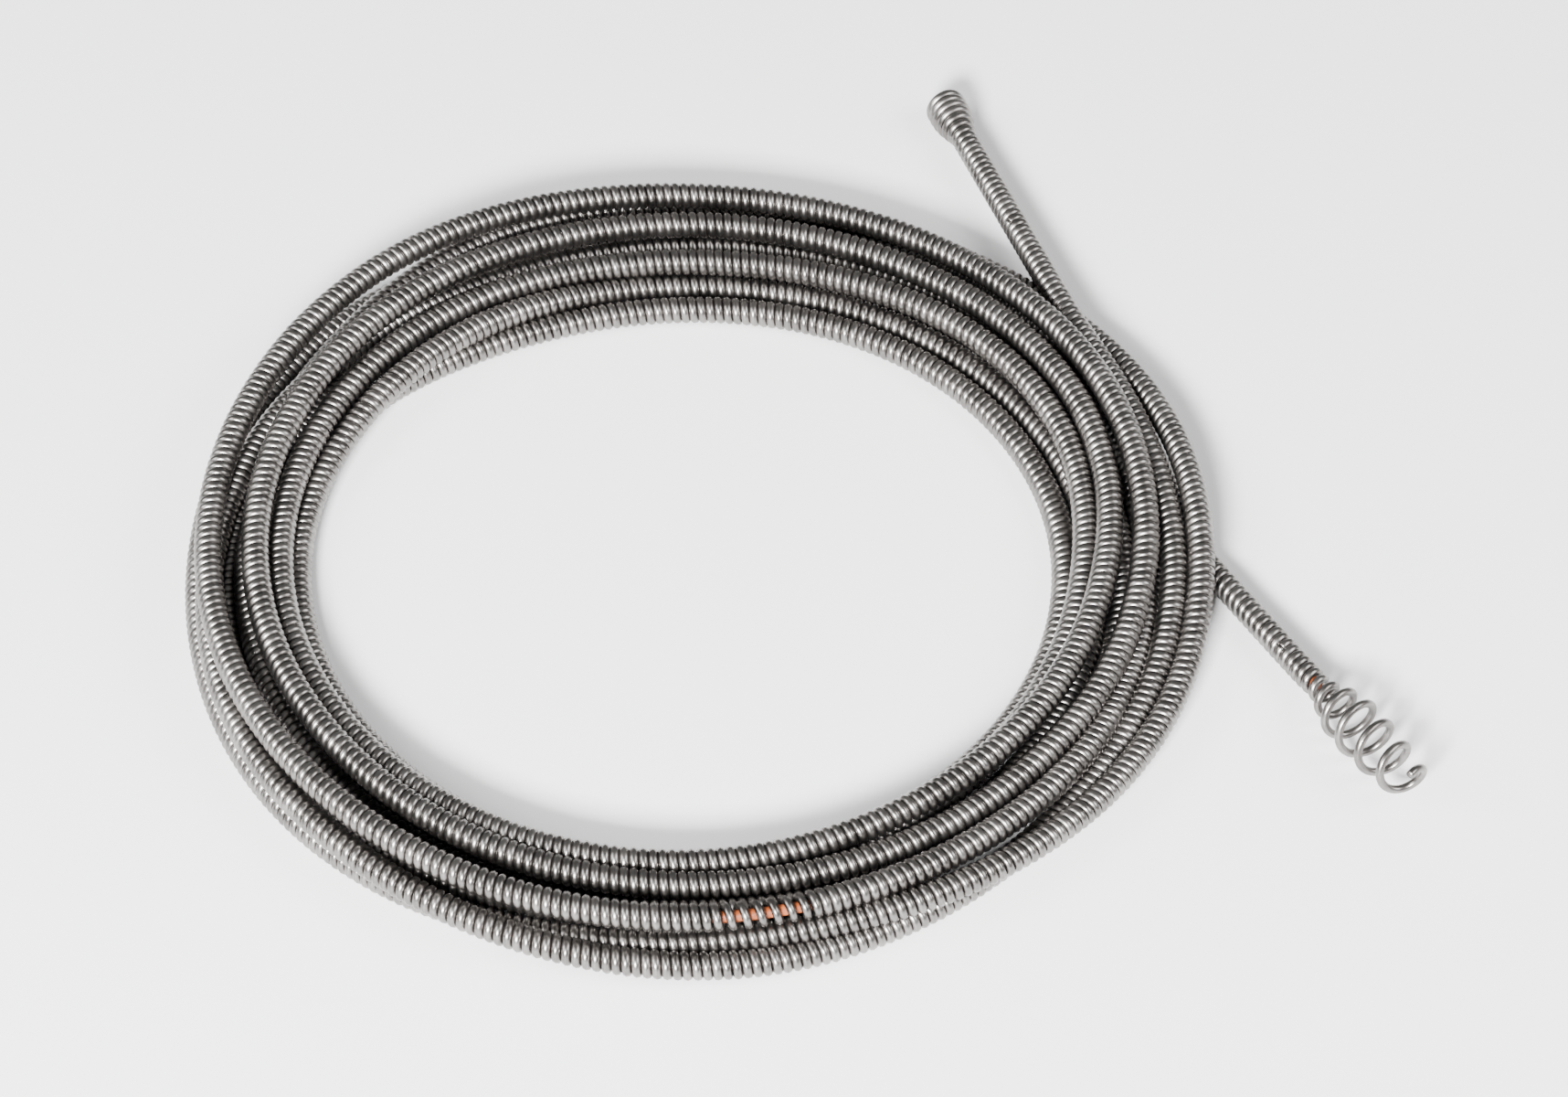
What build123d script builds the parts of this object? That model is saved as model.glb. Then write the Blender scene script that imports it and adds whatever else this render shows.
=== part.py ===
# Drain-cleaning cable with an inner core: a loose round coil with two free ends.
# One free end opens into a bulb auger, the other ends in a closed bulb for the drum.
# Millimetres, +Z up. The origin is on the floor at the centre of the coil's outer rim.
from build123d import *
import math
import os

# ---- driving dimensions ----------------------------------------------------
CABLE_R = 3.97          # outside radius of the windings: a 5/16 in cable
WIRE_R = 1.15           # the spring wire that is wound
BORE_R = CABLE_R - 2 * WIRE_R
JACKET_R = 1.60         # plastic jacket on the core
ROPE_STRAND_R = 0.35    # one of the seven strands of the core's rope
ROPE_CLEARANCE = 0.02   # between strand and strand, and between rope and jacket

COIL_RIM_R = 148.0      # outside of the coil
HOLE_R = 103.5          # the open middle, which sits off the rim's centre
HOLE_CENTRE = (-5.5, -5.0)
COIL_HIGH = 19.0        # over the middle of the coil
COIL_TILT = 1.3         # degrees: the coil is higher where its ring is narrower
COIL_TOP_ROUND = 5.0

# Free ends: where each leaves the rim, its heading from +X, its slope and its pieces
AUGER_EXIT = (147.7, -7.1, 4.2)
AUGER_HEADING = -59.5
AUGER_SLOPE = 2.8
AUGER_CUTS = (10.0, 24.0, 39.3)     # ends of the three pieces, from the rim
BULB_HEADING = -60.5
BULB_SLOPE = 6.7
DRUM_EXIT = (102.4, 107.0, 9.8)
DRUM_HEADING = 110.0
DRUM_SLOPE = -2.3
DRUM_CUTS = (14.0, 37.0, 67.0)
FLEX_GAP = 1.3          # the room that a flex joint needs between two pieces
NECK_GAP = 1.7          # the same at the root of the bulb auger
BURIED = 14.0           # how far a free end starts inside the coil before it is trimmed

# Bulb auger: a helix of bare wire whose windings part, swell and then narrow to the tip
AUGER_POINTS_PER_TURN = 10
AUGER_TURNS = 8.25
AUGER_PHASE = 18.0      # degrees, of the wire's start about the auger's axis
AUGER_WIDEST_R = 7.0    # to the middle of the wire
AUGER_TIP_R = 4.7
SWELL_START = 2.2       # turns from the root to where the helix begins to swell
SWELL_END = 5.2
SPREAD_START = 0.5      # turns from the root to where the windings begin to part
SPREAD_END = 6.8
ROOT_PITCH = 2.7
OPEN_PITCH = 9.2
ARC_SHARE = 0.45        # of the shorter run beside a corner, that its arc may take

# Closed bulb: the windings swell to a close-wound head
HEAD_R = 6.25
HEAD_LONG = 20.0
HEAD_TAPER = 8.0
HEAD_WALL = 2 * WIRE_R
HEAD_MOUTH_R = 1.2
HEAD_ROUND = 2.5
BEAD_LONG = 1.5
BEAD_ROUND = 0.6


def direction(heading, slope):
    """Unit vector of a free end from its heading and its slope, in degrees."""
    flat = math.cos(math.radians(slope))
    x = flat * math.cos(math.radians(heading))
    y = flat * math.sin(math.radians(heading))
    return Vector(x, y, math.sin(math.radians(slope)))


def station(start, along, distance):
    """Plane across a free end, the given distance along it."""
    return Plane(origin=Vector(*start) + along * distance, z_dir=along)


def save(part, name):
    part.label = name
    export_step(part, "parts/" + name + ".step")
    print(name, "volume", round(part.volume, 2), "mm3")


def build_coil():
    """The outer shape of the wound turns: a ring that is higher where it is narrower."""
    top = Plane((0, 0, COIL_HIGH)).rotated((0, COIL_TILT, 0))
    with BuildPart() as coil:
        with BuildSketch(Plane.XY):
            Circle(COIL_RIM_R)
            with Locations(HOLE_CENTRE):
                Circle(HOLE_R, mode=Mode.SUBTRACT)
        extrude(amount=2 * COIL_HIGH)
        split(bisect_by=top, keep=Keep.BOTTOM)
        upper = coil.faces().sort_by(Axis.Z)[-1]
        fillet(upper.edges(), radius=COIL_TOP_ROUND)
        lower = coil.faces().sort_by(Axis.Z)[0]
        fillet(lower.edges(), radius=CABLE_R)
    return coil.part


def build_windings(plane, length, coil):
    """One piece of the wound wire as a plain tube, trimmed where it meets the coil and the floor."""
    with BuildPart() as windings:
        with BuildSketch(plane):
            Circle(CABLE_R)
            Circle(BORE_R, mode=Mode.SUBTRACT)
        extrude(amount=length)
        if coil is not None:
            add(coil, mode=Mode.SUBTRACT)
            split(bisect_by=Plane.XY, keep=Keep.TOP)
    return windings.part


def build_jacket(plane, length, coil):
    with BuildPart() as jacket:
        with BuildSketch(plane):
            Circle(JACKET_R)
            Circle(3 * ROPE_STRAND_R + 2 * ROPE_CLEARANCE, mode=Mode.SUBTRACT)
        extrude(amount=length)
        if coil is not None:
            add(coil, mode=Mode.SUBTRACT)
    return jacket.part


def build_centre_strand(plane, length, coil):
    with BuildPart() as strand:
        with BuildSketch(plane):
            Circle(ROPE_STRAND_R)
        extrude(amount=length)
        if coil is not None:
            add(coil, mode=Mode.SUBTRACT)
    return strand.part


def build_outer_strands(plane, length, coil):
    with BuildPart() as strands:
        with BuildSketch(plane):
            with PolarLocations(2 * ROPE_STRAND_R + ROPE_CLEARANCE, 6):
                Circle(ROPE_STRAND_R)
        extrude(amount=length)
        if coil is not None:
            add(coil, mode=Mode.SUBTRACT)
    return strands.part


def build_free_end(name, start, along, cuts, coil):
    """Three pieces of cable, each a tube of windings on its core, with a flex gap between them."""
    begin = -BURIED
    for piece, end in zip(("root", "middle", "outer"), cuts):
        plane = station(start, along, begin)
        trim = coil if piece == "root" else None
        prefix = name + "_" + piece
        save(build_windings(plane, end - begin, trim), prefix + "_windings")
        save(build_jacket(plane, end - begin, trim), prefix + "_core_jacket")
        save(build_centre_strand(plane, end - begin, trim), prefix + "_core_centre_strand")
        save(build_outer_strands(plane, end - begin, trim), prefix + "_core_outer_strands")
        begin = end + FLEX_GAP


def build_core_bead(plane):
    """Weld bead on the end of the core."""
    with BuildPart() as bead:
        with BuildSketch(plane):
            Circle(JACKET_R)
        extrude(amount=BEAD_LONG)
        fillet(bead.edges().sort_by(Axis(plane.origin, plane.z_dir))[-1], radius=BEAD_ROUND)
    return bead.part


def smooth_share(value, start, end):
    """0 before the start, 1 after the end and a smooth rise between them."""
    share = min(max((value - start) / (end - start), 0.0), 1.0)
    return share * share * (3 - 2 * share)


def auger_radius(turns):
    """Radius of the auger's helix, to the middle of the wire."""
    wire_centre_r = CABLE_R - WIRE_R
    swell = smooth_share(turns, SWELL_START, SWELL_END)
    narrowing = max(turns - SWELL_END, 0.0) / (AUGER_TURNS - SWELL_END)
    widened = (AUGER_WIDEST_R - wire_centre_r) * swell
    return wire_centre_r + widened - (AUGER_WIDEST_R - AUGER_TIP_R) * narrowing ** 2


def auger_points():
    """Points of the wire of the bulb auger, in the frame of its root."""
    points = []
    height = WIRE_R
    step = 1 / AUGER_POINTS_PER_TURN
    for i in range(math.ceil(AUGER_TURNS * AUGER_POINTS_PER_TURN) + 1):
        turns = min(i * step, AUGER_TURNS)
        angle = math.radians(AUGER_PHASE) + 2 * math.pi * turns
        radius = auger_radius(turns)
        points.append(Vector(radius * math.cos(angle), radius * math.sin(angle), height))
        spread = smooth_share(turns, SPREAD_START, SPREAD_END)
        height += step * (ROOT_PITCH + (OPEN_PITCH - ROOT_PITCH) * spread)
    return points


def corner_radii(points):
    """The largest arc that each corner of a path leaves room for."""
    radii = []
    for before, corner, after in zip(points, points[1:], points[2:]):
        run_in = corner - before
        run_out = after - corner
        half_turn = math.radians(run_in.get_angle(run_out)) / 2
        radii.append(ARC_SHARE * min(run_in.length, run_out.length) / math.tan(half_turn))
    return radii


def build_bulb_auger(plane):
    points = [plane.from_local_coords(point) for point in auger_points()]
    radii = corner_radii(points)
    print("bulb_auger arc radii from", round(min(radii), 2), "to", round(max(radii), 2))
    with BuildPart() as auger:
        with BuildLine() as wire:
            FilletPolyline(*points, radius=radii)
        with BuildSketch(Plane(origin=wire.line @ 0, z_dir=wire.line % 0)):
            Circle(WIRE_R)
        sweep(path=wire.line)
    expected = math.pi * WIRE_R ** 2 * wire.wires()[0].length
    print("bulb_auger volume over section times length", round(auger.part.volume / expected, 4))
    return auger.part


def build_closed_bulb(plane):
    """Close-wound head: a shell of wire thickness with a small mouth at its tip."""
    head_in = HEAD_LONG - HEAD_WALL
    with BuildPart() as bulb:
        with BuildSketch(Plane.XZ) as profile:
            with BuildLine():
                Polyline(
                    (BORE_R, 0),
                    (CABLE_R, 0),
                    (HEAD_R, HEAD_TAPER),
                    (HEAD_R, HEAD_LONG),
                    (HEAD_MOUTH_R, HEAD_LONG),
                    (HEAD_MOUTH_R, head_in),
                    (HEAD_R - HEAD_WALL, head_in),
                    (HEAD_R - HEAD_WALL, HEAD_TAPER),
                    close=True,
                )
            make_face()
            outer = profile.vertices().group_by(Axis.X)[-1]
            fillet(outer, radius=HEAD_ROUND)
        revolve(axis=Axis.Z)
    bulb.part.locate(plane.location)
    return bulb.part


def main():
    os.makedirs("parts", exist_ok=True)
    coil = build_coil()
    save(coil, "cable_coil")

    auger_along = direction(AUGER_HEADING, AUGER_SLOPE)
    build_free_end("auger_end", AUGER_EXIT, auger_along, AUGER_CUTS, coil)
    neck = station(AUGER_EXIT, auger_along, AUGER_CUTS[-1]).origin
    save(build_core_bead(Plane(origin=neck, z_dir=auger_along)), "auger_end_core_bead")
    bulb_along = direction(BULB_HEADING, BULB_SLOPE)
    level = Vector(0, 0, 1).cross(bulb_along)
    root = Plane(origin=neck + bulb_along * NECK_GAP, x_dir=level, z_dir=bulb_along)
    save(build_bulb_auger(root), "bulb_auger")

    drum_along = direction(DRUM_HEADING, DRUM_SLOPE)
    build_free_end("drum_end", DRUM_EXIT, drum_along, DRUM_CUTS, coil)
    head = station(DRUM_EXIT, drum_along, DRUM_CUTS[-1])
    save(build_core_bead(head), "drum_end_core_bead")
    save(build_closed_bulb(head), "closed_bulb")


main()
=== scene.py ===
# Drain-cleaning cable: a loose coil of wound cable with a bulb auger and a closed bulb.
# The cable is worked out in millimetres and degrees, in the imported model's frame.
import bpy
import math
import numpy as np
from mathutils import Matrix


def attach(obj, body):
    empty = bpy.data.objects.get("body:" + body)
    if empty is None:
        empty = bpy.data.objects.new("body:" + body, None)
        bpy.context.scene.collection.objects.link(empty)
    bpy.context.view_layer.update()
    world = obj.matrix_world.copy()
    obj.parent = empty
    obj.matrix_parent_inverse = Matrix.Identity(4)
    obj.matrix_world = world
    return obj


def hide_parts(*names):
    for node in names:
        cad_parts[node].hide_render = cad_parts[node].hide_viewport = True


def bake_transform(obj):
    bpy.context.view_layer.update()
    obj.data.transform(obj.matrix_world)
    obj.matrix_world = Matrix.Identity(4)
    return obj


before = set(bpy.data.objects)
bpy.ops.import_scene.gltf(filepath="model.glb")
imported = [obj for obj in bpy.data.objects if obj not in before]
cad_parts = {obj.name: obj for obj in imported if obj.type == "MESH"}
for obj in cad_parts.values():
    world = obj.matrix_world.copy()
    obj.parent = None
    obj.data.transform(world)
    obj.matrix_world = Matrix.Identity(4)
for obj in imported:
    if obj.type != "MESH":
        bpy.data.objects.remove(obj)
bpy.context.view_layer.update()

MM = 0.001                        # Blender's unit is the metre
UP = np.array([0.0, 0.0, 1.0])

# ---- the cable, as in part.py ----------------------------------------------
CABLE_R = 3.97
WIRE_R = 1.15
JACKET_R = 1.6

AUGER_EXIT = np.array([147.7, -7.1, 4.2])
AUGER_HEADING, AUGER_SLOPE = -59.5, 2.8
AUGER_NECK = 39.3                 # from the exit to the end of the straight neck
BULB_HEADING, BULB_SLOPE = -60.5, 6.7
NECK_GAP = 1.7
AUGER_TURNS = 8.25
AUGER_PHASE = 18.0
AUGER_WIDEST_R = 7.0              # to the middle of the wire
AUGER_TIP_R = 4.7
SWELL_START, SWELL_END = 2.2, 5.2           # in turns from the root
SPREAD_START, SPREAD_END = 0.5, 6.8
ROOT_PITCH, OPEN_PITCH = 2.7, 9.2

DRUM_EXIT = np.array([102.4, 107.0, 9.8])
DRUM_HEADING, DRUM_SLOPE = 110.0, -2.3
DRUM_NECK = 67.0                  # from the exit to the root of the closed bulb
HEAD_LONG = 20.0

# ---- the winding, which the CAD model shows as plain tubes ------------------
PRESSED_WIRE_R = 1.31             # where the windings lie close, so that they touch
WINDING_R = CABLE_R - PRESSED_WIRE_R        # to the middle of the wire
WINDING_PITCH = 2.62
DRUM_PITCH = 2.5                  # of the whole free end with the closed bulb
CORE_STANDS_OUT = 9.0             # how far the core reaches past the auger's neck
THINNING = (0.3, 2.0)             # turns of the bulb auger that bring the wire back to WIRE_R

# A kink opened the windings here: degrees, counted on from pass to pass
KINK_START, KINK_END = 7 * 360 + 273.0, 7 * 360 + 282.6
KINK_EASE = 1.5
KINK_PITCH = 4.0

# The closed bulb, from its tip: the wire spirals in over the tip, then follows the head
TIP_LONG = 3.1
TIP_PITCH = 1.3
HEAD_WIRE_END = 1.2
HEAD_STATIONS = (1.3, TIP_LONG, 6, 9, 11.5, 14, 16.5, 19)
HEAD_RADII = (1.4, 5.05, 5.15, 5.1, 4.75, 4.1, 3.3, WINDING_R)     # to the middle of the wire

# ---- the coil as it lies ------------------------------------------------------
# Degrees about the ring's centre, radius and height of the cable's middle, one row for each
# bend, pass by pass from the auger's end to the drum's end.
PASSES = [
    [(10, 137.2, 4), (25, 136.4, 4), (45, 135.4, 4), (65, 134, 4), (90, 133.7, 4),
     (108, 133.8, 4), (116, 135, 4), (125, 139.5, 4), (131, 143, 4), (137, 145.2, 4),
     (147, 145, 4), (156, 143.8, 4), (168, 142.2, 4), (180, 141.3, 4), (195, 142.5, 4),
     (212, 144.3, 4), (228, 144.3, 4), (240, 142.3, 4), (250, 139.3, 4), (258, 136.8, 4),
     (270, 134.3, 4), (282, 135, 6), (289, 136.8, 8.5), (296, 138.9, 10.8), (303, 139.7, 11),
     (311, 139.6, 9.8), (320, 139, 8), (327, 139.8, 5.3), (334, 140.5, 4.2), (342, 140.8, 6),
     (350, 140.3, 10.5)],
    [(0, 139.6, 15), (8, 139.9, 15), (16, 141.5, 12.5), (23, 143.4, 9), (30, 144.2, 6.5),
     (37, 143.8, 4.5), (45, 143.2, 4), (60, 142.3, 4), (90, 141.3, 4), (100, 141.5, 5),
     (108, 141.5, 6.8), (116, 140.6, 9.8), (124, 138.3, 11.9), (131, 135.3, 11.2),
     (137, 134.4, 8.2), (144, 133.4, 5), (152, 133, 4), (180, 132.8, 4), (195, 134.5, 4),
     (215, 136.3, 4), (232, 135.3, 4.6), (245, 132.8, 7.5), (256, 131, 10), (270, 130.3, 10.9),
     (285, 128.5, 8.5), (298, 127, 5), (312, 125.5, 4), (330, 122.5, 4)],
    [(0, 120.4, 4), (45, 118.5, 4), (90, 117.5, 4), (120, 119.5, 4), (140, 122, 5),
     (155, 125, 9), (170, 127, 10.4), (180, 127.9, 10.5), (202, 128.3, 8), (214, 128.2, 4.3),
     (240, 127.3, 4), (270, 126.2, 4), (285, 122.5, 4), (300, 119, 4), (315, 117, 4),
     (330, 114.8, 4), (345, 113.2, 4)],
    [(0, 112.3, 4), (45, 110, 4), (90, 108.5, 4), (105, 109.3, 5.2), (118, 109.4, 8.5),
     (128, 108.4, 11), (138, 107.9, 11.6), (145, 111, 10.6), (150, 112.5, 9.3),
     (157, 114.1, 6.3), (165, 115, 4.2), (180, 115.2, 4), (225, 112.5, 4), (270, 110.3, 4),
     (300, 107.3, 4), (330, 105.2, 4), (345, 104.4, 4)],
    [(0, 104.1, 4), (45, 101.5, 4), (90, 99.4, 4), (110, 101.5, 4), (125, 104.9, 4),
     (133, 107.5, 4), (140, 111.5, 4), (147, 116.4, 4), (156, 121, 4), (165, 122.8, 4),
     (180, 123.3, 4), (225, 120.2, 4), (270, 118.2, 4), (285, 116.3, 5), (298, 113.8, 8),
     (312, 111.6, 10.2), (330, 109.3, 10.8), (345, 108.2, 10.9)],
    [(0, 108.6, 10.9), (15, 112, 11), (30, 115.8, 11), (40, 115.3, 11), (50, 114.6, 11),
     (90, 110.5, 11), (115, 115, 11), (128, 118.5, 11), (141, 120.7, 11), (158, 119.5, 11),
     (180, 119.6, 11), (225, 117, 11), (270, 115, 11.5), (285, 114.3, 13), (298, 114.3, 15.4),
     (312, 114.1, 16.9), (330, 113.4, 17), (339, 112.9, 16.8), (347, 113.4, 16.2)],
    [(0, 114.7, 15), (24, 122, 14.5), (36, 123.2, 14), (53, 124.3, 12), (90, 128, 11.7),
     (105, 128.2, 12.6), (120, 128, 15), (132, 127.3, 17.5), (145, 126.6, 18.5),
     (155, 126, 18.5), (165, 125.4, 18.3), (180, 125.8, 18), (202, 124.8, 17), (225, 124, 15),
     (250, 123.2, 13), (270, 122.8, 11.3), (297, 123.9, 12.5), (314, 124.2, 13.2),
     (334, 124.5, 13.2)],
    [(-4, 126.3, 14.5), (0, 126.4, 14.8), (6, 127.2, 16.2), (12, 128.2, 17.5),
     (22, 129.9, 18), (30, 130.2, 17.5), (36, 131.7, 15.8), (43, 135, 12.7), (50, 136, 11.8),
     (65, 138.4, 11.2), (90, 139.6, 11.5), (100, 139.3, 13.3), (110, 139.8, 15.8),
     (120, 140.7, 18.8), (128, 141.7, 19), (135, 142, 18.8), (145, 140.5, 18.5),
     (155, 139.2, 18.4), (170, 138.7, 18.4), (180, 138.3, 18.5), (200, 138.4, 19.2),
     (215, 138.6, 19.3), (232, 138.3, 18.6), (250, 137.8, 16.8), (270, 137.2, 15.3),
     (295, 134.6, 13.5), (304, 133.2, 12.6), (312, 132.4, 11.8), (322, 132.2, 11.4),
     (330, 131.4, 11), (336, 129.4, 8), (345, 128.4, 5)],
    [(0, 128, 4), (45, 127, 4), (90, 126, 4), (110, 126.3, 4), (123, 126.4, 4),
     (133, 126.7, 7.5), (140, 127.2, 11.5), (147, 129, 12.4), (155, 131, 12.2),
     (165, 134.2, 11.6), (180, 136.9, 10.8), (195, 139.8, 11.2), (205, 142, 11.8),
     (218, 142.5, 11.8), (232, 142.4, 11.3), (244, 142.2, 9.3), (254, 142, 6.5),
     (264, 141.9, 4), (286, 140.6, 4), (294, 138.4, 4), (304, 135, 4), (316, 132.6, 4),
     (324, 132.2, 4.2), (332, 132.9, 5.5), (339, 134.6, 9.3), (347, 134.4, 10.8)],
    [(-4, 133.4, 10.9), (4, 132.4, 10.9), (12, 131.9, 10.9), (20, 132.9, 10.9),
     (28, 134.9, 10.7)],
]
POINTS_PER_TURN = 24
REST_HEIGHT = 3.98                # the cable's middle when it lies on the floor
NESTED = 7.7                      # between two cables whose windings mesh
OUTERMOST = 145.4
AUGER_BURIED = (0, -8, -17)       # control points of the cord on each free end's own line
DRUM_BURIED = (-20, -10, 0)

# Settling: each turn is pushed off the ones it touches, and drawn back to its own row
SETTLE_STEPS = 240
SETTLE_STIFFNESS = 0.12
SETTLE_MEMORY = 0.985
SETTLE_PUSH = 0.25

# ---- mesh sizes -----------------------------------------------------------------
LINE_STEP = 0.5                   # between points of the cable's middle line
LINE_SMOOTHING = 30               # passes, which round the joins of its stretches
LINE_PAST_NECK = 61.0             # it reaches past the bulb auger's tip
TURN_STEP = 0.01                  # of the bulb auger, when its height is added up
# a piece stays under the limit of triangles
COIL_PARTS = 8                    # pieces of the coil's winding, so that each holds fewer triangles
COIL_MESH = (24.4, 10)            # points in each turn of the wire, and sides of the wire
FREE_END_MESH = (32, 12)
CORD_STEPS = 8                    # between two control points of the cord
CORD_ROUNDNESS = 3
JACKET_STEP = 1.0
JACKET_SIDES = 20
MARKS_SHIFT = 7.3                 # for each millimetre of cable, so that no marks repeat


def direction(heading, slope):
    """Unit vector from a heading and a slope, in degrees."""
    flat = math.cos(math.radians(slope))
    return np.array([
        flat * math.cos(math.radians(heading)),
        flat * math.sin(math.radians(heading)),
        math.sin(math.radians(slope)),
    ])


def smooth_share(value, start, end):
    """0 before the start, 1 after the end and a smooth rise between them."""
    share = np.clip((value - start) / (end - start), 0.0, 1.0)
    return share * share * (3 - 2 * share)


def soften(rows):
    """Move each row but the first and the last towards the middle of its neighbours."""
    rows[1:-1] = 0.25 * rows[:-2] + 0.5 * rows[1:-1] + 0.25 * rows[2:]


def straight(start, along, distances):
    """Points on a straight line, at these distances from its start."""
    return [start + distance * along for distance in distances]


AUGER_ALONG = direction(AUGER_HEADING, AUGER_SLOPE)
BULB_ALONG = direction(BULB_HEADING, BULB_SLOPE)
DRUM_ALONG = direction(DRUM_HEADING, DRUM_SLOPE)


# ---- the route of the coil ---------------------------------------------------
def settled_turns():
    """Control points of the coil's turns: they lie on the floor and on each other."""
    rows = np.array([(360 * turn + degrees, radius, height)
                     for turn, row in enumerate(PASSES) for degrees, radius, height in row])
    degrees = np.arange(rows[0, 0], rows[-1, 0] + 1, 360 / POINTS_PER_TURN)
    goal = np.stack([np.interp(degrees, rows[:, 0], rows[:, k]) for k in (1, 2)], axis=1)
    soften(goal)
    place = goal.copy()
    for _ in range(SETTLE_STEPS):
        moved = place - goal
        moved[1:-1] += SETTLE_STIFFNESS * (moved[:-2] - 2 * moved[1:-1] + moved[2:])
        place = goal + SETTLE_MEMORY * moved
        for column in range(POINTS_PER_TURN):
            here = place[column::POINTS_PER_TURN]
            apart = here[:, None] - here[None]
            far = np.hypot(apart[..., 0], apart[..., 1]) + 1e-9     # never a division by 0
            push = np.clip(NESTED - far, 0, None)
            np.fill_diagonal(push, 0)
            here += SETTLE_PUSH * (apart / far[..., None] * push[..., None]).sum(axis=1)
        place[:, 1] = np.maximum(place[:, 1], REST_HEIGHT)
        place[:, 0] = np.minimum(place[:, 0], OUTERMOST)
    return degrees, place


def cable_route():
    """Control points of the cable in the coil, from the auger's exit to the drum's."""
    degrees, place = settled_turns()
    angle = np.radians(degrees)
    # the spline runs inside its control points by this much
    radius = place[:, 0] / (0.75 + 0.25 * math.cos(2 * math.pi / POINTS_PER_TURN))
    turns = np.stack([radius * np.cos(angle), radius * np.sin(angle), place[:, 1]], axis=1)
    auger_side = straight(AUGER_EXIT, AUGER_ALONG, AUGER_BURIED)
    drum_side = straight(DRUM_EXIT, DRUM_ALONG, DRUM_BURIED)
    route = np.vstack([auger_side, turns, drum_side])
    route[:, 2] = np.maximum(route[:, 2], REST_HEIGHT)
    return route


def read_curve(curve_object):
    """Points along a curve, as Blender's own mesh of it gives them."""
    mesh = bpy.data.meshes.new_from_object(curve_object)
    points = np.empty(3 * len(mesh.vertices))
    mesh.vertices.foreach_get("co", points)
    bpy.data.meshes.remove(mesh)
    return points.reshape(-1, 3) / MM


def add_core_cord():
    """The jacketed core of the coil, and the points along its middle."""
    route = cable_route()
    data = bpy.data.curves.new("cable_core_in_coil", "CURVE")
    data.dimensions = "3D"
    spline = data.splines.new("NURBS")
    spline.points.add(len(route) - 1)
    for point, place in zip(spline.points, route):
        point.co = (*(place * MM), 1.0)
    spline.order_u = 3
    spline.use_endpoint_u = True
    spline.resolution_u = CORD_STEPS
    core = bpy.data.objects.new("cable_core_in_coil", data)
    bpy.context.collection.objects.link(core)
    bpy.context.view_layer.update()
    line = read_curve(core)
    data.bevel_depth = JACKET_R * MM
    data.bevel_resolution = CORD_ROUNDNESS
    data.use_fill_caps = True
    return core, line


core, coil_line = add_core_cord()


# ---- the whole cable's middle line, from the drum's end to the auger's tip ----
def middle_line():
    """Distances along the cable's middle, in even steps, the points there and the whole length."""
    drum_line = straight(DRUM_EXIT, DRUM_ALONG, np.arange(DRUM_NECK + HEAD_LONG, 0, -1.0))
    neck_line = straight(AUGER_EXIT, AUGER_ALONG, np.arange(1.0, AUGER_NECK, 1.0))
    bulb_root = AUGER_EXIT + AUGER_NECK * AUGER_ALONG
    bulb_line = straight(bulb_root, BULB_ALONG, np.arange(0.0, LINE_PAST_NECK + 1, 1.0))
    middle = np.vstack([drum_line, coil_line[::-1], neck_line, bulb_line])
    runs = np.linalg.norm(np.diff(middle, axis=0), axis=1)
    middle = middle[np.concatenate([[True], runs > 1e-4])]          # no point twice
    runs = np.linalg.norm(np.diff(middle, axis=0), axis=1)
    reach = np.concatenate([[0.0], np.cumsum(runs)])
    at = np.arange(0.0, reach[-1], LINE_STEP)
    line = np.stack([np.interp(at, reach, middle[:, k]) for k in range(3)], axis=1)
    for _ in range(LINE_SMOOTHING):
        soften(line)
    return at, line, float(reach[-1])


at, line, whole_length = middle_line()
tangent = np.gradient(line, axis=0)
tangent /= np.linalg.norm(tangent, axis=1)[:, None]
level = np.cross(UP, tangent)
level /= np.linalg.norm(level, axis=1)[:, None]
upright = np.cross(tangent, level)

DRUM_EXIT_AT = DRUM_NECK + HEAD_LONG
AUGER_EXIT_AT = whole_length - LINE_PAST_NECK - AUGER_NECK
ROOT_AT = AUGER_EXIT_AT + AUGER_NECK + NECK_GAP + WIRE_R

# ---- pitch, phase and radius of the winding, all along --------------------------
# the bulb auger's turns, with the height of each above the wire's start
auger_turns = np.arange(0.0, AUGER_TURNS + TURN_STEP, TURN_STEP)
auger_spread = smooth_share(auger_turns, SPREAD_START, SPREAD_END)
auger_pitch = ROOT_PITCH + (OPEN_PITCH - ROOT_PITCH) * auger_spread
auger_high = np.concatenate([[0.0], np.cumsum(auger_pitch[:-1] * TURN_STEP)])
AUGER_END_AT = ROOT_AT + float(auger_high[-1])
auger_turn_at = np.interp(at, ROOT_AT + auger_high, auger_turns)

# degrees turned through about the ring's centre, counted as in PASSES
bearing = np.unwrap(np.arctan2(line[:, 1], line[:, 0]))
swept = np.degrees(bearing - bearing[np.searchsorted(at, DRUM_EXIT_AT)])
drum_exit_bearing = math.degrees(math.atan2(DRUM_EXIT[1], DRUM_EXIT[0]))
passed = 360 * (len(PASSES) - 1) + drum_exit_bearing + swept
open_share = smooth_share(passed, KINK_START - KINK_EASE, KINK_START + KINK_EASE) \
    * (1 - smooth_share(passed, KINK_END - KINK_EASE, KINK_END + KINK_EASE))

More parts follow.
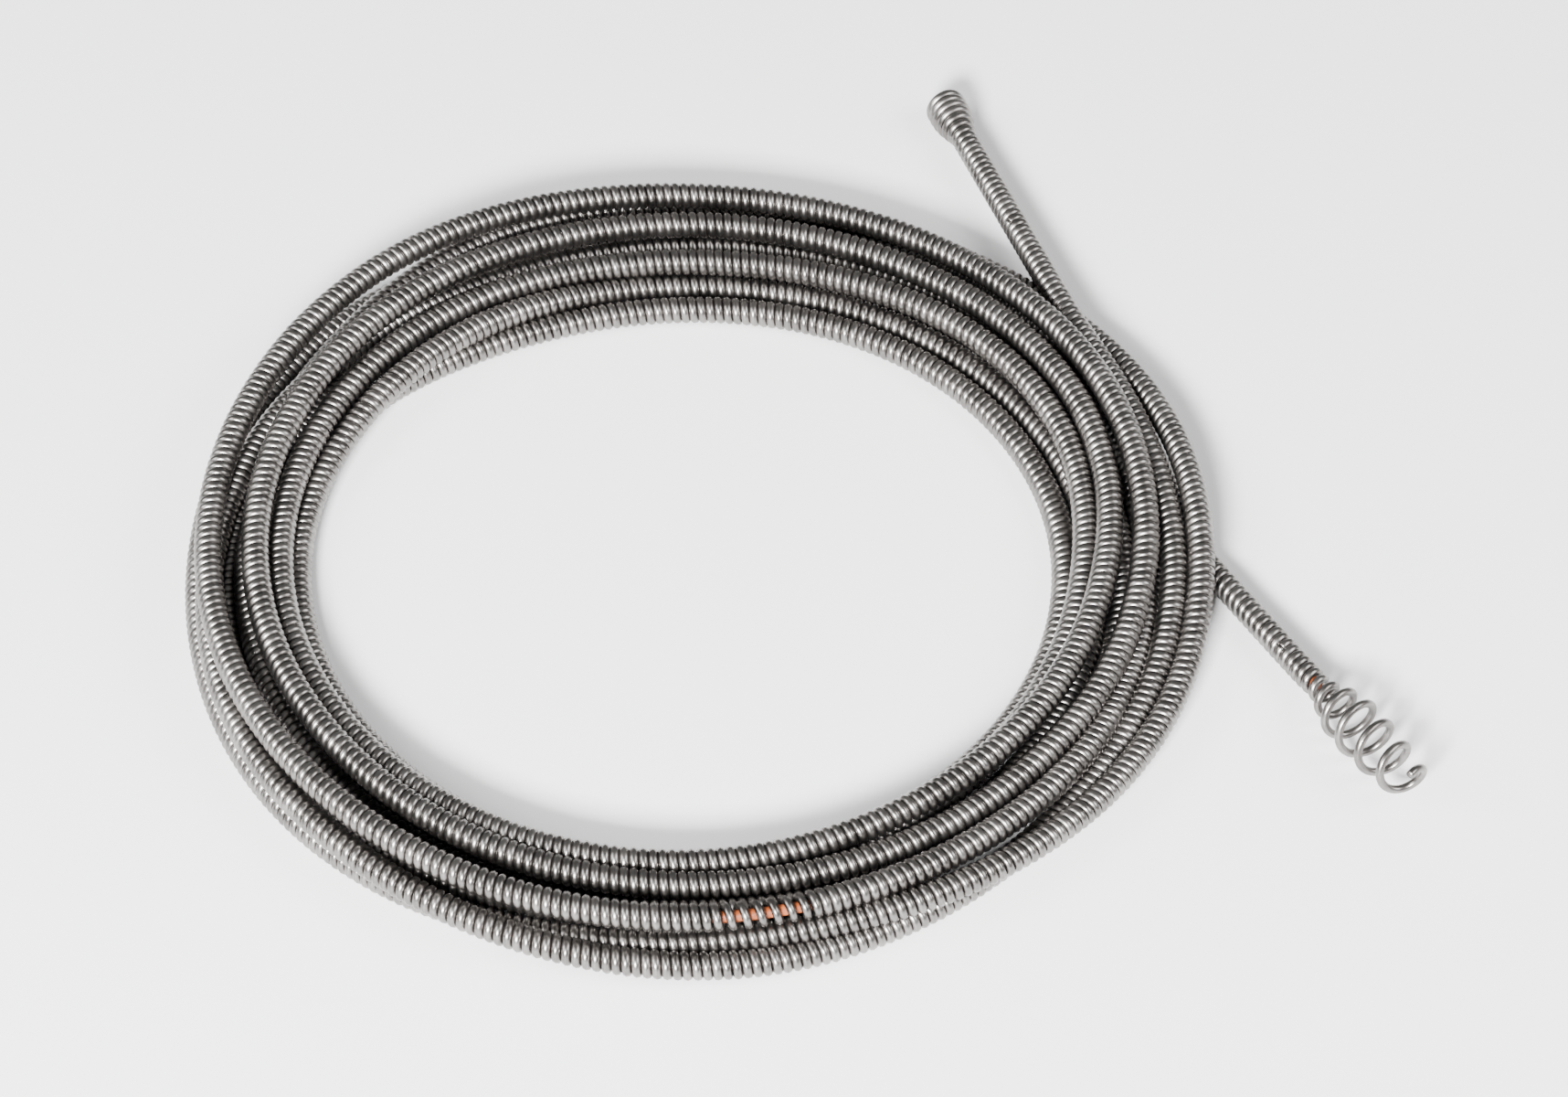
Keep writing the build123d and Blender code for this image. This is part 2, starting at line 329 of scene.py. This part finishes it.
# the pitch wanders a little, in two waves of different lengths
wander = 0.03 * np.sin(at / 61.0) + 0.02 * np.sin(at / 23.7 + 1.3)
pitch = WINDING_PITCH + wander + (KINK_PITCH - WINDING_PITCH) * open_share
pitch[at < DRUM_EXIT_AT] = DRUM_PITCH
pitch[at < TIP_LONG] = TIP_PITCH
phase = np.concatenate([[0.0], np.cumsum(LINE_STEP / pitch[:-1])])
phase = phase - np.interp(ROOT_AT, at, phase)
phase = np.where(at > ROOT_AT, auger_turn_at, phase)
phase = 2 * math.pi * phase + math.radians(AUGER_PHASE)

swell = smooth_share(auger_turn_at, SWELL_START, SWELL_END)
narrowing = np.clip(auger_turn_at - SWELL_END, 0, None) / (AUGER_TURNS - SWELL_END)
radius = WINDING_R + (AUGER_WIDEST_R - WINDING_R) * swell \
    - (AUGER_WIDEST_R - AUGER_TIP_R) * narrowing ** 2
head = np.interp(at, HEAD_STATIONS, HEAD_RADII)
radius = np.where(at < HEAD_STATIONS[-1], head, radius)
thinned = np.maximum(open_share, smooth_share(auger_turn_at, *THINNING))
wire_radius = PRESSED_WIRE_R - (PRESSED_WIRE_R - WIRE_R) * thinned


# ---- meshes --------------------------------------------------------------------------
def across(values, where):
    """Rows of values, such as points or directions, at these distances along the cable."""
    return np.stack([np.interp(where, at, values[:, k]) for k in range(3)], axis=1)


def grid_mesh(name, rings):
    """A tube through rings of points, with a fan at each end."""
    count, sides = rings.shape[:2]
    first = np.arange(count - 1)[:, None] * sides
    side = np.arange(sides)[None]
    after = (side + 1) % sides
    corners = [first + side, first + after, first + sides + after, first + sides + side]
    quads = np.stack(corners, axis=-1).reshape(-1, 4)
    vertices = np.vstack([rings.reshape(-1, 3), rings[0].mean(axis=0), rings[-1].mean(axis=0)])
    start_tip, end_tip = count * sides, count * sides + 1
    base = (count - 1) * sides
    fans = [(start_tip, (k + 1) % sides, k) for k in range(sides)]
    fans += [(end_tip, base + k, base + (k + 1) % sides) for k in range(sides)]
    mesh = bpy.data.meshes.new(name)
    mesh.vertices.add(len(vertices))
    mesh.vertices.foreach_set("co", (vertices * MM).ravel())
    loops = np.concatenate([quads.ravel(), np.array(fans).ravel()])
    mesh.loops.add(len(loops))
    mesh.loops.foreach_set("vertex_index", loops.astype(np.int32))
    starts = np.concatenate([
        np.arange(len(quads)) * 4,
        len(quads) * 4 + np.arange(len(fans)) * 3,
    ])
    mesh.polygons.add(len(starts))
    mesh.polygons.foreach_set("loop_start", starts.astype(np.int32))
    mesh.update(calc_edges=True)
    mesh.validate()
    mesh.polygons.foreach_set("use_smooth", [True] * len(mesh.polygons))
    made = bpy.data.objects.new(name, mesh)
    bpy.context.collection.objects.link(made)
    return made


def add_winding(name, start, end, points_per_turn, sides):
    """The wound wire between two distances along the cable."""
    first, last = np.interp((start, end), at, phase)
    count = int(round((last - first) / (2 * math.pi) * points_per_turn)) + 1
    turned = np.linspace(first, last, count)
    where = np.interp(turned, phase, at)
    outward = across(level, where) * np.cos(turned)[:, None] \
        + across(upright, where) * np.sin(turned)[:, None]
    wire = across(line, where) + outward * np.interp(where, at, radius)[:, None]
    ahead = np.gradient(wire, axis=0)
    ahead /= np.linalg.norm(ahead, axis=1)[:, None]
    outward -= ahead * (outward * ahead).sum(axis=1)[:, None]
    outward /= np.linalg.norm(outward, axis=1)[:, None]
    beside = np.cross(ahead, outward)
    round_wire = 2 * math.pi * np.arange(sides) / sides
    # the corners stand out from the round wire by as much as the flats lie within it
    corner_r = np.interp(where, at, wire_radius) * 2 / (1 + math.cos(math.pi / sides))
    rings = wire[:, None] + corner_r[:, None, None] * (
        outward[:, None] * np.cos(round_wire)[None, :, None]
        + beside[:, None] * np.sin(round_wire)[None, :, None])
    made = grid_mesh(name, rings)
    # where each point is on the drawn wire, for the marks that run along it
    wire_runs = np.linalg.norm(np.diff(wire, axis=0), axis=1)
    along_wire = np.concatenate([[0.0], np.cumsum(wire_runs)])
    drawn = np.zeros((count, sides, 3))
    drawn[..., 0] = along_wire[:, None] + MARKS_SHIFT * start
    drawn[..., 1] = WIRE_R * np.cos(round_wire)
    drawn[..., 2] = WIRE_R * np.sin(round_wire)
    drawn = np.vstack([drawn.reshape(-1, 3), drawn[0].mean(axis=0), drawn[-1].mean(axis=0)])
    attribute = made.data.attributes.new("along_wire", "FLOAT_VECTOR", "POINT")
    attribute.data.foreach_set("vector", (drawn * MM).ravel())
    return made


def add_free_winding(name, start, end):
    return add_winding(name, start, end, *FREE_END_MESH)


def add_jacket(name, start, end):
    """The core's jacket between two distances along the cable."""
    where = np.linspace(start, end, int((end - start) / JACKET_STEP))
    round_core = 2 * math.pi * np.arange(JACKET_SIDES) / JACKET_SIDES
    ring = across(level, where)[:, None] * np.cos(round_core)[None, :, None] \
        + across(upright, where)[:, None] * np.sin(round_core)[None, :, None]
    return grid_mesh(name, across(line, where)[:, None] + JACKET_R * ring)


# ---- materials -----------------------------------------------------------------
FILM_DARK, FILM_LIGHT = (0.155, 0.146, 0.139), (0.245, 0.232, 0.222)
WORN_STEEL = (0.36, 0.345, 0.33)
SPECK = (0.07, 0.06, 0.054)
JACKET_DARK, JACKET_LIGHT = (0.20, 0.044, 0.010), (0.36, 0.092, 0.024)
ROPE_DARK, ROPE_LIGHT = (0.30, 0.29, 0.28), (0.56, 0.55, 0.53)
MARK_STRETCH = (90, 2400, 2400)   # drawing marks are long and thin: along the wire and across


def new_material(name):
    material = bpy.data.materials.new(name)
    material.use_nodes = True
    nodes, links = material.node_tree.nodes, material.node_tree.links
    return material, nodes, links, nodes["Principled BSDF"]


def add_noise(nodes, links, vector, scale, detail, rough):
    noise = nodes.new("ShaderNodeTexNoise")
    noise.inputs["Scale"].default_value = scale
    noise.inputs["Detail"].default_value = detail
    noise.inputs["Roughness"].default_value = rough
    links.new(vector, noise.inputs["Vector"])
    return noise.outputs["Fac"]


def add_range(nodes, links, value, low, high, to_low, to_high):
    shift = nodes.new("ShaderNodeMapRange")
    sockets = ("From Min", "From Max", "To Min", "To Max")
    for socket, number in zip(sockets, (low, high, to_low, to_high)):
        shift.inputs[socket].default_value = number
    links.new(value, shift.inputs["Value"])
    return shift.outputs["Result"]


def add_mix(nodes, links, share, dark, light):
    """A colour between two others, each of them a colour or another node's output."""
    mix = nodes.new("ShaderNodeMix")
    mix.data_type = "RGBA"
    links.new(share, mix.inputs["Factor"])
    for socket, colour in (("A", dark), ("B", light)):
        target = [s for s in mix.inputs if s.name == socket and s.type == "RGBA"][0]
        if hasattr(colour, "links"):
            links.new(colour, target)
        else:
            target.default_value = (*colour, 1)
    return [s for s in mix.outputs if s.type == "RGBA"][0]


def add_bump(nodes, links, shader, height, strength, distance):
    bump = nodes.new("ShaderNodeBump")
    bump.inputs["Strength"].default_value = strength
    bump.inputs["Distance"].default_value = distance
    links.new(height, bump.inputs["Height"])
    links.new(bump.outputs["Normal"], shader.inputs["Normal"])


def steel_material():
    """Spring wire: a dull film of uneven tone, worn streaks along the wire and dark specks."""
    material, nodes, links, shader = new_material("spring_steel_wire")
    place = nodes.new("ShaderNodeTexCoord").outputs["Object"]
    wire = nodes.new("ShaderNodeAttribute")
    wire.attribute_name = "along_wire"
    stretch = nodes.new("ShaderNodeVectorMath")
    stretch.operation = "MULTIPLY"
    stretch.inputs[1].default_value = MARK_STRETCH
    links.new(wire.outputs["Vector"], stretch.inputs[0])
    marks = add_noise(nodes, links, stretch.outputs["Vector"], scale=1.0, detail=4.0, rough=0.6)
    film = add_noise(nodes, links, place, scale=130.0, detail=4.0, rough=0.6)
    specks = add_noise(nodes, links, place, scale=1100.0, detail=2.0, rough=0.5)
    film_share = add_range(nodes, links, film, 0.38, 0.64, 0, 1)
    worn_share = add_range(nodes, links, marks, 0.5, 0.75, 0, 0.35)
    speck_share = add_range(nodes, links, specks, 0.70, 0.82, 0, 0.4)
    toned = add_mix(nodes, links, film_share, FILM_DARK, FILM_LIGHT)
    worn = add_mix(nodes, links, worn_share, toned, WORN_STEEL)
    spotted = add_mix(nodes, links, speck_share, worn, SPECK)
    links.new(spotted, shader.inputs["Base Color"])
    shader.inputs["Metallic"].default_value = 1.0
    roughness = add_range(nodes, links, film, 0.3, 0.7, 0.28, 0.36)
    links.new(roughness, shader.inputs["Roughness"])
    add_bump(nodes, links, shader, marks, strength=0.08, distance=0.00003)
    return material


def jacket_material():
    """Orange-brown plastic with a fine grain."""
    material, nodes, links, shader = new_material("core_jacket_plastic")
    place = nodes.new("ShaderNodeTexCoord").outputs["Object"]
    tone = add_noise(nodes, links, place, scale=220.0, detail=3.0, rough=0.55)
    grain = add_noise(nodes, links, place, scale=2600.0, detail=2.0, rough=0.5)
    tone_share = add_range(nodes, links, tone, 0.35, 0.65, 0, 1)
    colour = add_mix(nodes, links, tone_share, JACKET_DARK, JACKET_LIGHT)
    links.new(colour, shader.inputs["Base Color"])
    roughness = add_range(nodes, links, tone, 0.3, 0.7, 0.38, 0.56)
    links.new(roughness, shader.inputs["Roughness"])
    add_bump(nodes, links, shader, grain, strength=0.2, distance=0.00005)
    return material


def rope_material():
    """The bright wire rope and the weld beads inside."""
    material, nodes, links, shader = new_material("core_rope_steel")
    place = nodes.new("ShaderNodeTexCoord").outputs["Object"]
    tone = add_noise(nodes, links, place, scale=900.0, detail=3.0, rough=0.6)
    tone_share = add_range(nodes, links, tone, 0.35, 0.65, 0, 1)
    colour = add_mix(nodes, links, tone_share, ROPE_DARK, ROPE_LIGHT)
    links.new(colour, shader.inputs["Base Color"])
    shader.inputs["Metallic"].default_value = 1.0
    roughness = add_range(nodes, links, tone, 0.3, 0.7, 0.28, 0.45)
    links.new(roughness, shader.inputs["Roughness"])
    return material


steel = steel_material()
jacket_plastic = jacket_material()
rope_steel = rope_material()


def finish_as(made, material):
    made.data.materials.clear()
    made.data.materials.append(material)


def material_for(node):
    if "strand" in node or "bead" in node:
        return rope_steel
    if "jacket" in node:
        return jacket_plastic
    return steel


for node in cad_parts:
    for slot in bpy.data.objects[node].material_slots:
        slot.material = material_for(node)

# ---- the coil: its core is a cord, and the wound wire goes with it -----------------
COIL_REACH = 2.0                  # the coil's winding runs this far past each exit

finish_as(core, jacket_plastic)
coil_start, coil_end = DRUM_EXIT_AT - COIL_REACH, AUGER_EXIT_AT + COIL_REACH
for part in range(COIL_PARTS):
    piece = add_winding(
        f"coil_windings_{part + 1}",
        coil_start + (coil_end - coil_start) * part / COIL_PARTS,
        coil_start + (coil_end - coil_start) * (part + 1) / COIL_PARTS,
        *COIL_MESH)
    finish_as(piece, steel)
    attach(piece, "coil")
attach(core, "coil")
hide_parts("cable_coil")

# ---- the free ends: their winding and jacket, cut into a piece for each joint ---------
# A piece crosses one joint, and each piece starts where the one before it ends. Cuts and
# bends are distances from the exit. The auger end's wire runs on as the bulb auger, and the
# drum end's wire as the closed bulb.
AUGER_END = {
    "name": "auger_end",
    "parts": ("root", "middle", "outer"),
    "exit": AUGER_EXIT,
    "along": AUGER_ALONG,
    "exit_at": AUGER_EXIT_AT,
    "towards": 1,                 # the auger's tip is at the far end of the middle line
    "cuts": (COIL_REACH, 17.65, 32.3),
    "bodies": ("coil", "auger_end_middle", "auger_end_outer", "bulb_auger"),
    "bends": ((5.0, 16.3), (19.0, 30.3), (34.5, 45.8)),
}
DRUM_END = {
    "name": "drum_end",
    "parts": ("root", "outer"),
    "exit": DRUM_EXIT,
    "along": DRUM_ALONG,
    "exit_at": DRUM_EXIT_AT,
    "towards": -1,                # and the closed bulb's tip at its start
    "cuts": (COIL_REACH, 25.65),
    "bodies": ("coil", "drum_end_middle", "drum_end_outer"),
    "bends": ((3.7, 25.6), (25.7, 49.6)),
}


def add_free_end(side, name, add, material, last_cut, replaced):
    """The wire or the jacket of a free end, one piece for each joint that it crosses."""
    cuts = (*side["cuts"], last_cut)
    for k, part in enumerate(side["parts"]):
        start, end = sorted(side["exit_at"] + side["towards"] * cut for cut in cuts[k:k + 2])
        piece = add(f"{side['name']}_{part}_{name}", start, end)
        finish_as(piece, material)
        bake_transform(piece)
        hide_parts(*replaced[k])


add_free_end(
    AUGER_END, "wire", add_free_winding, steel, AUGER_END_AT - AUGER_EXIT_AT,
    [["auger_end_root_windings"],
     ["auger_end_middle_windings"],
     ["auger_end_outer_windings", "bulb_auger"]])
add_free_end(
    AUGER_END, "jacket", add_jacket, jacket_plastic, AUGER_NECK + CORE_STANDS_OUT,
    [["auger_end_root_core_jacket"],
     ["auger_end_middle_core_jacket"],
     ["auger_end_outer_core_jacket"]])
add_free_end(
    DRUM_END, "wire", add_free_winding, steel, DRUM_EXIT_AT - HEAD_WIRE_END,
    [["drum_end_root_windings"],
     ["drum_end_middle_windings", "drum_end_outer_windings", "closed_bulb"]])
add_free_end(
    DRUM_END, "jacket", add_jacket, jacket_plastic, DRUM_NECK,
    [["drum_end_root_core_jacket"],
     ["drum_end_middle_core_jacket", "drum_end_outer_core_jacket"]])

# ---- floor, light and camera, in metres ---------------------------------------------
FLOOR_SIZE = 8.0
FLOOR_COLOUR = (0.95, 0.95, 0.95, 1)
FLOOR_ROUGHNESS = 0.7
ROOM_COLOUR = (1, 1, 1, 1)
ROOM_LIGHT = 0.34
# place, width, height and watts of each softbox, which faces the middle of the coil
SOFTBOXES = {
    "front_softbox": ((-0.45, -1.75, 1.15), 0.6, 0.4, 240),
    "left_softbox": ((-1.5, -0.4, 1.3), 1.3, 0.9, 36),
    "right_softbox": ((1.5, -0.4, 1.3), 1.3, 0.9, 36),
}
AIM = (0.0239, 0.0085, 0.0)
ELEVATION = math.radians(48.5)
DISTANCE = 1.385
LENS = 111.0                      # in millimetres, as is the sensor
SENSOR_WIDTH = 36.0
CLIP_START = 0.05

bpy.ops.mesh.primitive_plane_add(size=FLOOR_SIZE, location=(0, 0, 0))
floor = bpy.context.object
floor.name = "floor"
floor_material, _, _, floor_shader = new_material("pale_floor")
floor_shader.inputs["Base Color"].default_value = FLOOR_COLOUR
floor_shader.inputs["Roughness"].default_value = FLOOR_ROUGHNESS
floor.data.materials.append(floor_material)

world = bpy.context.scene.world or bpy.data.worlds.new("World")
bpy.context.scene.world = world
world.use_nodes = True
background = world.node_tree.nodes["Background"]
background.inputs["Color"].default_value = ROOM_COLOUR
background.inputs["Strength"].default_value = ROOM_LIGHT


def add_softbox(name, place, wide, high, power):
    light = bpy.data.lights.new(name, "AREA")
    light.shape = "RECTANGLE"
    light.size = wide
    light.size_y = high
    light.energy = power
    made = bpy.data.objects.new(name, light)
    bpy.context.collection.objects.link(made)
    made.location = place
    x, y, z = place
    made.rotation_euler = (math.atan2(math.hypot(x, y), z), 0, math.atan2(x, -y))


for softbox, (place, wide, high, power) in SOFTBOXES.items():
    add_softbox(softbox, place, wide, high, power)

camera_data = bpy.data.cameras.new("camera")
camera_data.lens = LENS
camera_data.sensor_width = SENSOR_WIDTH
camera_data.clip_start = CLIP_START
camera = bpy.data.objects.new("camera", camera_data)
bpy.context.collection.objects.link(camera)
camera.location = (
    AIM[0],
    AIM[1] - DISTANCE * math.cos(ELEVATION),
    AIM[2] + DISTANCE * math.sin(ELEVATION),
)
camera.rotation_euler = (math.pi / 2 - ELEVATION, 0, 0)
bpy.context.scene.camera = camera
